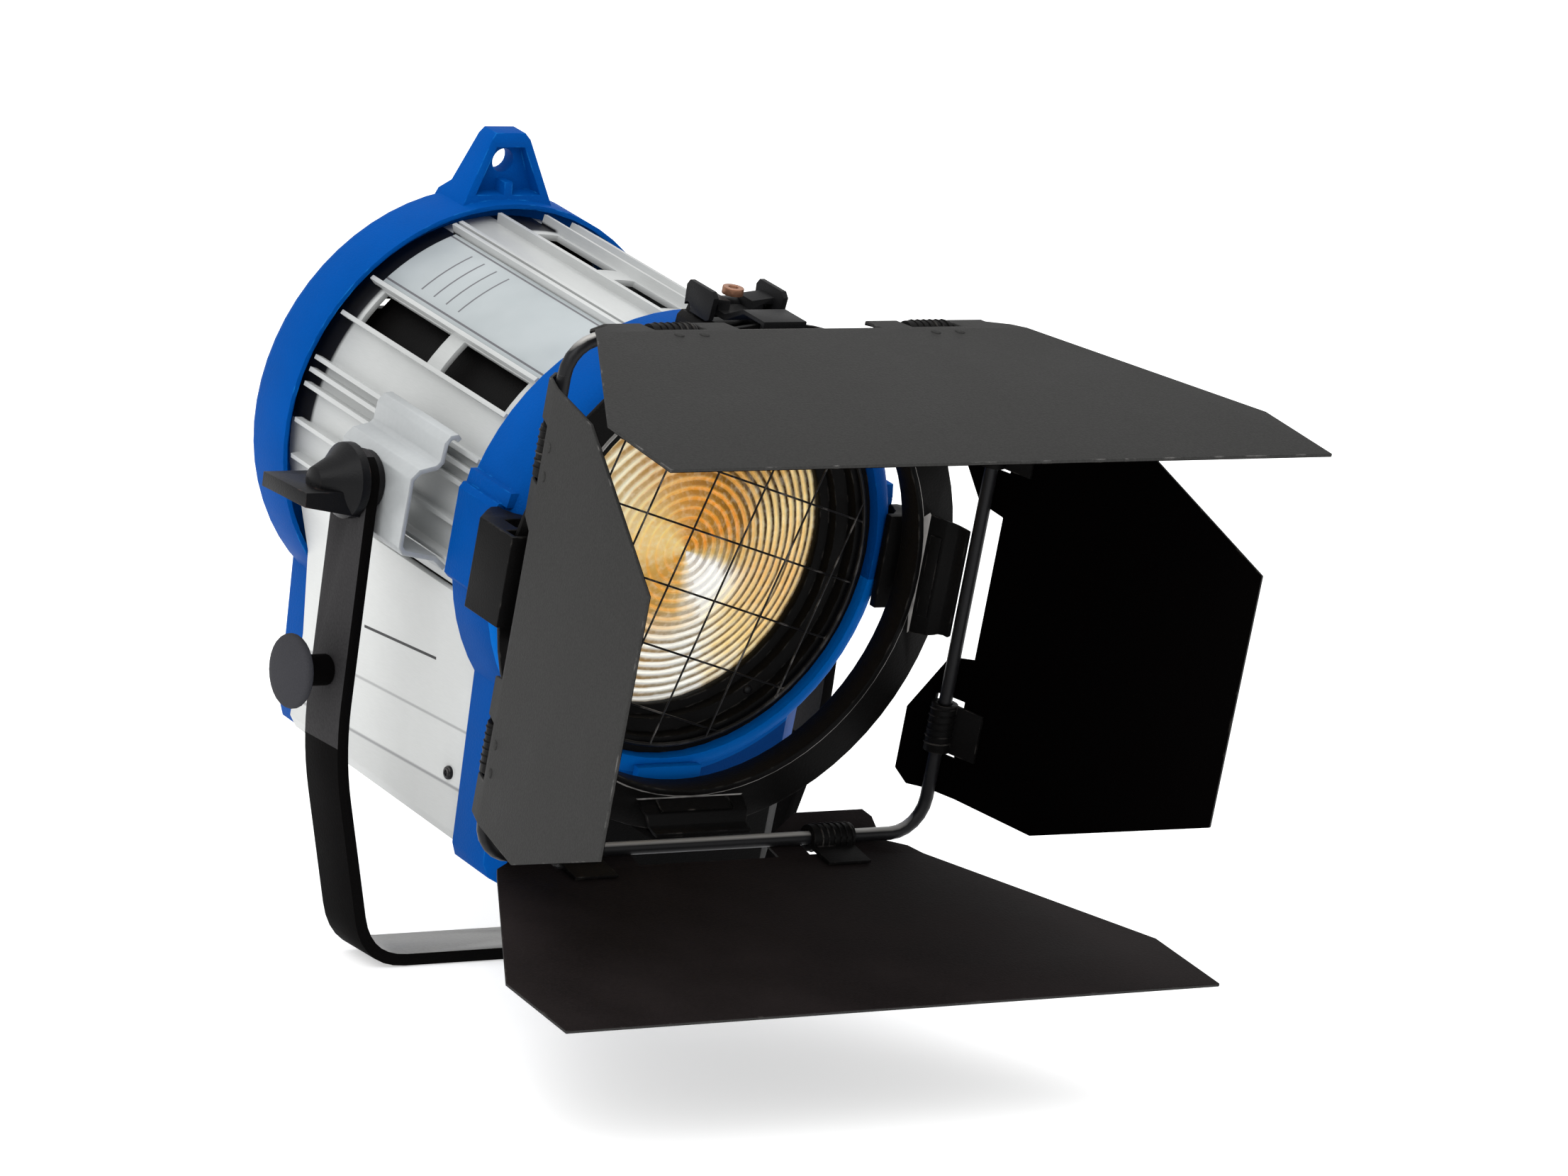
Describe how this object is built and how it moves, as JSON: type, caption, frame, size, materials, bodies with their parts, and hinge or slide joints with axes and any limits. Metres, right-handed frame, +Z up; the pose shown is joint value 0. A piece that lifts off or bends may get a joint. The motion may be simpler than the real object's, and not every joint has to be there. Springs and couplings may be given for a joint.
{
  "type": "fresnel spotlight",
  "caption": "Small fresnel spotlight: finned drum housing in a stirrup, stepped lens behind a wire guard, rotating four-leaf barndoor.",
  "frame": {"origin": "centre of the underside of the stirrup's bottom bar, on the axis of the stand bolt", "axes": "+Z up through the tilt pivot; -Y is the side the lens faces; +X is to the right of someone who looks at the lens"},
  "size_m": [0.244, 0.3317, 0.2515],
  "materials": {
    "blue_paint": "satin powder coat",
    "silver_aluminium": "satin anodised",
    "steel": "zinc plated",
    "black_paint": "satin powder coat",
    "leaf_paint": "matt heat-proof paint",
    "black_plastic": "moulded",
    "rubber": "matt",
    "lens_glass": "clear",
    "lamp_glass": "clear",
    "ceramic": "unglazed ceramic",
    "copper": "tarnished",
    "mirror_finish": "polished",
    "label_film": "printed film"
  },
  "bodies": {
    "stirrup": {"stirrup": "black_paint", "cord_post": "rubber", "friction_disc_left": "black_plastic", "friction_disc_right": "black_plastic"},
    "lock_lever": {"tilt_lock_lever": "black_plastic"},
    "head": {"front_casting": "blue_paint", "rear_casting": "blue_paint", "upper_shell": "silver_aluminium", "lower_trough": "silver_aluminium", "side_bracket_left": "silver_aluminium", "side_bracket_right": "silver_aluminium", "lens_retaining_ring": "black_paint", "heat_baffle": "black_paint", "rear_cover": "black_paint", "ring_bracket_left": "black_paint", "ring_bracket_right": "black_paint", "ring_bracket_bottom": "black_paint", "latch_base": "black_paint", "pivot_stud_left": "steel", "pivot_bolt_right": "steel", "guide_rod_left": "steel", "guide_rod_right": "steel", "latch_pin": "steel", "wire_guard": "steel", "fresnel_lens": "lens_glass", "label_plate": "label_film", "cable_gland": "black_plastic"},
    "focus": {"focus_spindle": "steel", "focus_knob": "black_plastic"},
    "carriage": {"lamp_carriage": "steel", "lamp_socket": "ceramic", "lamp_bulb": "lamp_glass", "reflector": "mirror_finish"},
    "latch": {"latch_lever": "black_plastic", "latch_bolt": "copper"},
    "barndoor": {"barndoor_ring": "black_paint", "hinge_frame": "steel"},
    "leaf_top": {"leaf_top": "leaf_paint", "hinge_clip_top_a": "black_paint", "hinge_clip_top_b": "black_paint"},
    "leaf_bottom": {"leaf_bottom": "leaf_paint", "hinge_clip_bottom_a": "black_paint", "hinge_clip_bottom_b": "black_paint"},
    "leaf_left": {"leaf_left": "leaf_paint", "hinge_clip_left_a": "black_paint", "hinge_clip_left_b": "black_paint"},
    "leaf_right": {"leaf_right": "leaf_paint", "hinge_clip_right_a": "black_paint", "hinge_clip_right_b": "black_paint"}
  },
  "joints": [
    {"name": "head_tilt", "type": "hinge", "parent": "stirrup", "child": "head", "pos_m": [0, 0, 0.158], "axis": [1, 0, 0], "range_deg": [-36, 33]},
    {"name": "lock_lever_turn", "type": "hinge", "parent": "stirrup", "child": "lock_lever", "pos_m": [0, 0, 0.158], "axis": [1, 0, 0], "range_deg": [-60, 60]},
    {"name": "barndoor_turn", "type": "hinge", "parent": "head", "child": "barndoor", "pos_m": [0, -0.07418, 0.14464], "axis": [0, -0.9969, -0.0785], "continuous": true},
    {"name": "leaf_top_hinge", "type": "hinge", "parent": "barndoor", "child": "leaf_top", "pos_m": [0, -0.09373, 0.22736], "axis": [1, 0, 0], "range_deg": [-105, 18]},
    {"name": "leaf_bottom_hinge", "type": "hinge", "parent": "barndoor", "child": "leaf_bottom", "pos_m": [0, -0.08055, 0.05988], "axis": [-1, 0, 0], "range_deg": [-100, 18]},
    {"name": "leaf_left_hinge", "type": "hinge", "parent": "barndoor", "child": "leaf_left", "pos_m": [-0.084, -0.08714, 0.14362], "axis": [0, -0.0785, 0.9969], "range_deg": [-90, 100]},
    {"name": "leaf_right_hinge", "type": "hinge", "parent": "barndoor", "child": "leaf_right", "pos_m": [0.084, -0.08714, 0.14362], "axis": [0, 0.0785, -0.9969], "range_deg": [-94, 88]},
    {"name": "latch_lift", "type": "hinge", "parent": "head", "child": "latch", "pos_m": [0, -0.0525, 0.22609], "axis": [-1, 0, 0], "range_deg": [0, 25], "stiffness_Nm_per_rad": 0.3, "springref_deg": -17.19},
    {"name": "focus_turn", "type": "hinge", "parent": "head", "child": "focus", "pos_m": [0, 0.11156, 0.06597], "axis": [0, 0.9969, 0.0785], "range_deg": [-360, 360]},
    {"name": "focus_slide", "type": "slide", "parent": "head", "child": "carriage", "axis": [0, 0.9969, 0.0785], "range_m": [-0.02, 0.02]}
  ],
  "couplings": [
    {"joint": "focus_turn", "follows": "focus_slide", "rad_per_m": 314.16}
  ]
}
